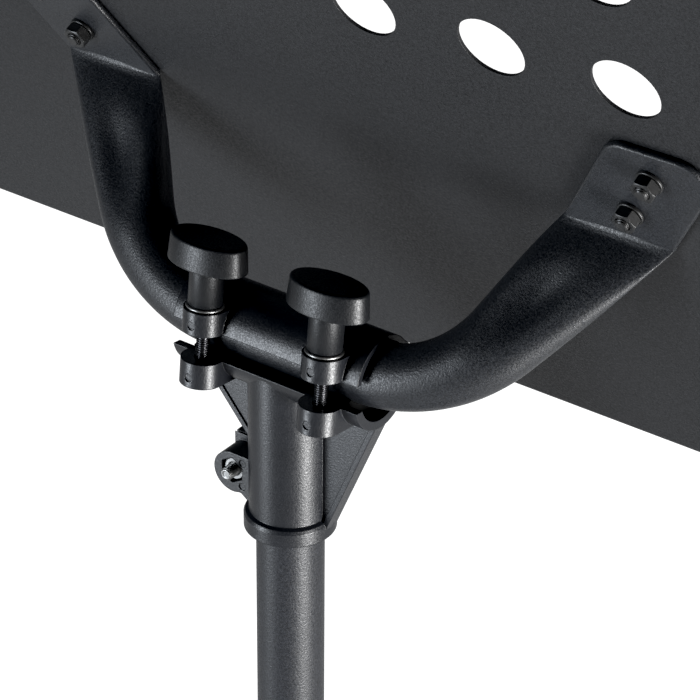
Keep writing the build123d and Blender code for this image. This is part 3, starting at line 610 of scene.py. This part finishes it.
def make_clamp_nuts():
    """The two nuts trapped under the tilt head's ears, in one piece."""
    def build(work):
        for side in SIDES:
            joint = JOINTS[f"clamp_turn_{side}"]
            matrix = frame_on(joint["axis"], joint["pos_m"])
            hex_piece(work, matrix, M6_FLATS, TRAP_FROM, TRAP_FROM + M6_NUT_H, M6_NUT_BORE, turn=HEX_TURN)

    new_piece("clamp_nuts_cut", "column", "zinc_steel", build, ["clamp_nuts"])


def make_sleeve_bolt():
    """The pinch bolt through the sleeve's lugs, with its nut and washer."""
    matrix = frame_on((0, 1, 0), LUG)
    low, high = SLEEVE_BOLT_Y

    def bolt(work):
        threaded_rod(work, matrix, M6_R, M6_PITCH, low, high, dish=SLEEVE_BOLT_DISH)
        hex_piece(work, matrix, M6_FLATS, high, high + BOLT_HEAD_H, 0, chamfers=(False, True))

    def nut(work):
        hex_piece(work, matrix, M6_FLATS, *SLEEVE_NUT_Y, M6_R, turn=HEX_TURN)

    new_piece("sleeve_nut_cut", "column", "zinc_steel", nut, ["sleeve_nut"])
    new_piece("sleeve_bolt_cut", "column", "zinc_steel", bolt, ["sleeve_bolt"])
    new_piece("sleeve_washer_cut", "column", "zinc_steel",
              lambda work: washer(work, matrix, *SLEEVE_WASHER_Y), ["sleeve_washer"])


def make_yoke_fasteners():
    """Cup-head bolts through desk and tabs, each with its washer and nut on the desk's back."""
    seats = [center - DESK_BACKWARD * WASHER_T / 2 for center in island_centers("yoke_washers")]
    stacks = [frame_on(DESK_BACKWARD, seat) for seat in seats]
    front = -YOKE_FLAT_T - SHEET_T
    tip = WASHER_T + M6_NUT_H + BOLT_BEYOND
    dome = [(0, front), (5.2 * MM, front), (5.5 * MM, front - 0.3 * MM), (5.4 * MM, front - 0.42 * CUP_H),
            (4.6 * MM, front - 0.75 * CUP_H), (3.0 * MM, front - 0.94 * CUP_H), (0, front - CUP_H)]

    def bolts(work):
        for matrix in stacks:
            threaded_rod(work, matrix, M6_R, M6_PITCH, front, tip)
            lathe(work, matrix, dome, 64)

    def washers(work):
        for matrix in stacks:
            washer(work, matrix, 0, WASHER_T)

    def nuts(work):
        for matrix in stacks:
            hex_piece(work, matrix, M6_FLATS, WASHER_T, WASHER_T + M6_NUT_H, M6_NUT_BORE)

    new_piece("yoke_bolts_cut", "desk", "bolt_paint", bolts, ["yoke_bolts"])
    new_piece("yoke_washers_cut", "desk", "bolt_paint", washers, ["yoke_washers"])
    new_piece("yoke_nuts_cut", "desk", "bolt_paint", nuts, ["yoke_nuts"])


# ---------------------------------------------------------------- yoke

TILT_Z = 791.0 * MM
YOKE_R = 14.0 * MM
YOKE_HALF = 38.0 * MM
YOKE_BEND_R = 68.0 * MM
YOKE_BEND = math.radians(58.5)
YOKE_FLAT_HALF = 22.0 * MM
YOKE_FLAT_T = 3.4 * MM
YOKE_PRESS = 118.0 * MM               # length of tube over which it is pressed flat
DESK_FOOT = Vector((0, 110.0, 731.0)) * MM  # on the back face of the desk's sheet
CREASE_D = 151.0 * MM                 # from there up the sheet to the crease
TAB_LENGTH = 66.0 * MM
TAB_SPLAY = math.radians(29.0)
TAB_CORNER = 12.0 * MM
TAB_CORNER_STEPS = 8
TAB_INSET = 0.3 * MM                  # keeps the tab's sides within the tube's
YOKE_SIDES = 64
YOKE_ROWS = 90
CREASE_ROWS = 5
PRESS_LATE = 3                        # a power: the thickness goes late in the pressing, near the crease
SKEW_FROM = 0.4                       # shares of the pressed length where the section starts to skew,
DENT_FROM = 0.3                       # where the hollow starts
CREASE_FROM = 0.94                    # and where the section leans into the crease
YOKE_DENT = 0.5                       # how far the pressing hollows the tube's middle
DENT_WIDTH = 0.55                     # the hollow's reach to each side, as a share of the half width
CREASE_LIP = 0.7 * MM                 # height of the crease's rounded ridge above the tab
CREASE_REACH = 1.7 * MM               # how far the ridge rounds over onto the tab
CREASE_SWELL = 3 * CREASE_REACH       # length of tube over which the ridge swells
CREASE_NOSE = 0.3                     # height left at the ridge's foot, as a share of the full height


def smooth_step(x):
    """Runs smoothly from 0 to 1 as x goes from 0 to 1."""
    x = min(max(x, 0.0), 1.0)
    return x * x * (3 - 2 * x)


def smooth_from(share, start):
    """Runs smoothly from 0 to 1 as share goes from start to 1."""
    return smooth_step((share - start) / (1 - start))


def rounded(before, corner, after):
    """Points that round a corner of the tab's outline."""
    first = (before - corner).normalized()
    second = (after - corner).normalized()
    half = first.angle(second) / 2
    reach = TAB_CORNER / math.tan(half)
    center = corner + (first + second).normalized() * TAB_CORNER / math.sin(half)
    start = corner + first * reach - center
    end = corner + second * reach - center
    begin = math.atan2(start.y, start.x)
    sweep = (math.atan2(end.y, end.x) - begin + math.pi) % (2 * math.pi) - math.pi
    angles = [begin + sweep * i / TAB_CORNER_STEPS for i in range(TAB_CORNER_STEPS + 1)]
    return [center + TAB_CORNER * Vector((math.cos(a), math.sin(a))) for a in angles]


def make_yoke():
    """The bent tube, pressed flat at both ends, with a creased tab that lies on the desk's back."""
    up_desk = Vector((0, -math.sin(DESK_LEAN), math.cos(DESK_LEAN)))
    along_tab = up_desk + Vector((math.tan(TAB_SPLAY), 0, 0))
    crease = DESK_FOOT + up_desk * CREASE_D + DESK_BACKWARD * YOKE_FLAT_T / 2
    lean = math.atan2(crease.y, crease.z - TILT_Z)
    reach = math.hypot(crease.y, crease.z - TILT_Z)
    rise = Vector((0, math.sin(lean), math.cos(lean)))
    across = Vector((0, -math.cos(lean), math.sin(lean)))
    leg = (reach - YOKE_BEND_R * (1 - math.cos(YOKE_BEND))) / math.sin(YOKE_BEND)
    crease_u = YOKE_HALF + YOKE_BEND_R * math.sin(YOKE_BEND) + leg * math.cos(YOKE_BEND)
    bend_length = YOKE_BEND_R * YOKE_BEND
    total = bend_length + leg
    origin = Vector((0, 0, TILT_Z))

    def section(along):
        """Centre, axes, half sizes and dent of the tube, a distance along it from the bend's start."""
        turn = min(along / YOKE_BEND_R, YOKE_BEND)
        past = max(along - bend_length, 0.0)
        u = YOKE_HALF + YOKE_BEND_R * math.sin(turn) + past * math.cos(turn)
        v = YOKE_BEND_R * (1 - math.cos(turn)) + past * math.sin(turn)
        share = (along - total + YOKE_PRESS) / YOKE_PRESS
        skew = (math.pi / 2 - turn) * smooth_from(share, SKEW_FROM)
        angle = turn - math.pi / 2 + skew
        width_axis = Vector((1, 0, 0)) * math.cos(angle) + rise * math.sin(angle)
        thick_axis = (across + DESK_BACKWARD * smooth_from(share, CREASE_FROM)).normalized()
        half_width = (YOKE_R + (YOKE_FLAT_HALF - YOKE_R) * smooth_step(share)) / math.cos(skew)
        half_thick = YOKE_R + (YOKE_FLAT_T / 2 - YOKE_R) * smooth_step(max(share, 0.0) ** PRESS_LATE)
        dent = YOKE_DENT * math.sin(math.pi * smooth_from(share, DENT_FROM))
        center = origin + Vector((1, 0, 0)) * u + rise * v
        return center, width_axis, thick_axis, half_width, half_thick, dent

    def outline_of(along, past):
        """The section's points, or the crease's ridge where past runs from 0 to 1 beyond the tube's end."""
        center, width_axis, thick_axis, half_width, half_thick, dent = section(along)
        ridge = CREASE_LIP * smooth_step((along - total + CREASE_SWELL) / CREASE_SWELL)
        center = center + along_tab * CREASE_REACH * math.sin(past * math.pi / 2)
        left = max(math.cos(past * math.pi / 2), CREASE_NOSE)
        points = []
        for i in range(YOKE_SIDES):
            a = 2 * math.pi * i / YOKE_SIDES
            sunk = 1 - dent * math.exp(-(math.cos(a) / DENT_WIDTH) ** 2)
            height = (half_thick * sunk + (ridge if math.sin(a) > 0 else 0.0)) * left
            points.append(center + width_axis * half_width * math.cos(a)
                          + thick_axis * height * math.sin(a))
        return points

    def tube(work):
        """From the left crease's ridge, through the clamp, to the right one's."""
        stations = [(total * i / YOKE_ROWS, 0.0) for i in range(YOKE_ROWS + 1)]
        stations += [(total, i / CREASE_ROWS) for i in range(1, CREASE_ROWS + 1)]
        rings = []
        for way in (-1, 1):
            rows = [[work.verts.new((way * point.x, point.y, point.z)) for point in outline_of(*station)]
                    for station in stations]
            rings += reversed(rows) if way < 0 else rows
        join_rings(work, rings, YOKE_SIDES, True)
        for end in (rings[0], rings[-1]):
            work.faces.new(end)

    def tab(work, way):
        """The flat tab: the squashed tube's end, with rounded corners and fully rounded edges."""
        flat = YOKE_FLAT_HALF / math.sin(YOKE_BEND) - TAB_INSET
        shift = TAB_LENGTH * math.sin(TAB_SPLAY)
        top = CREASE_D + TAB_LENGTH * math.cos(TAB_SPLAY)
        corners = [Vector((crease_u - flat, CREASE_D)), Vector((crease_u + flat, CREASE_D)),
                   Vector((crease_u + flat + shift, top)), Vector((crease_u - flat + shift, top))]
        outline = corners[:2] + rounded(*corners[1:]) + rounded(*corners[2:], corners[0])
        middle = sum(outline, Vector((0, 0))) / len(outline)
        edge = YOKE_FLAT_T / 2
        rings = []
        for inset, height in arc((-edge, edge), edge, -90, 90, 10):
            row = []
            for point in outline:
                moved = point + (point - middle).normalized() * inset
                place = DESK_FOOT + up_desk * moved.y + DESK_BACKWARD * height
                row.append(work.verts.new((way * moved.x, place.y, place.z)))
            rings.append(row)
        join_rings(work, rings, len(outline), True)
        work.faces.new(rings[0])
        work.faces.new(rings[-1])

    def build(work):
        tube(work)
        for way in (-1, 1):
            tab(work, way)

    new_piece("yoke_tube_swept", "desk", "yoke_powder", build, ["yoke_tube"])


# ---------------------------------------------------------------- put together

make_camera()
make_tones()
make_sky()
for settings in SOFTBOXES:
    softbox(*settings)
make_floor()
dress_nodes()
for side in SIDES:
    make_clamp(side)
make_clamp_nuts()
make_sleeve_bolt()
make_yoke_fasteners()
make_yoke()
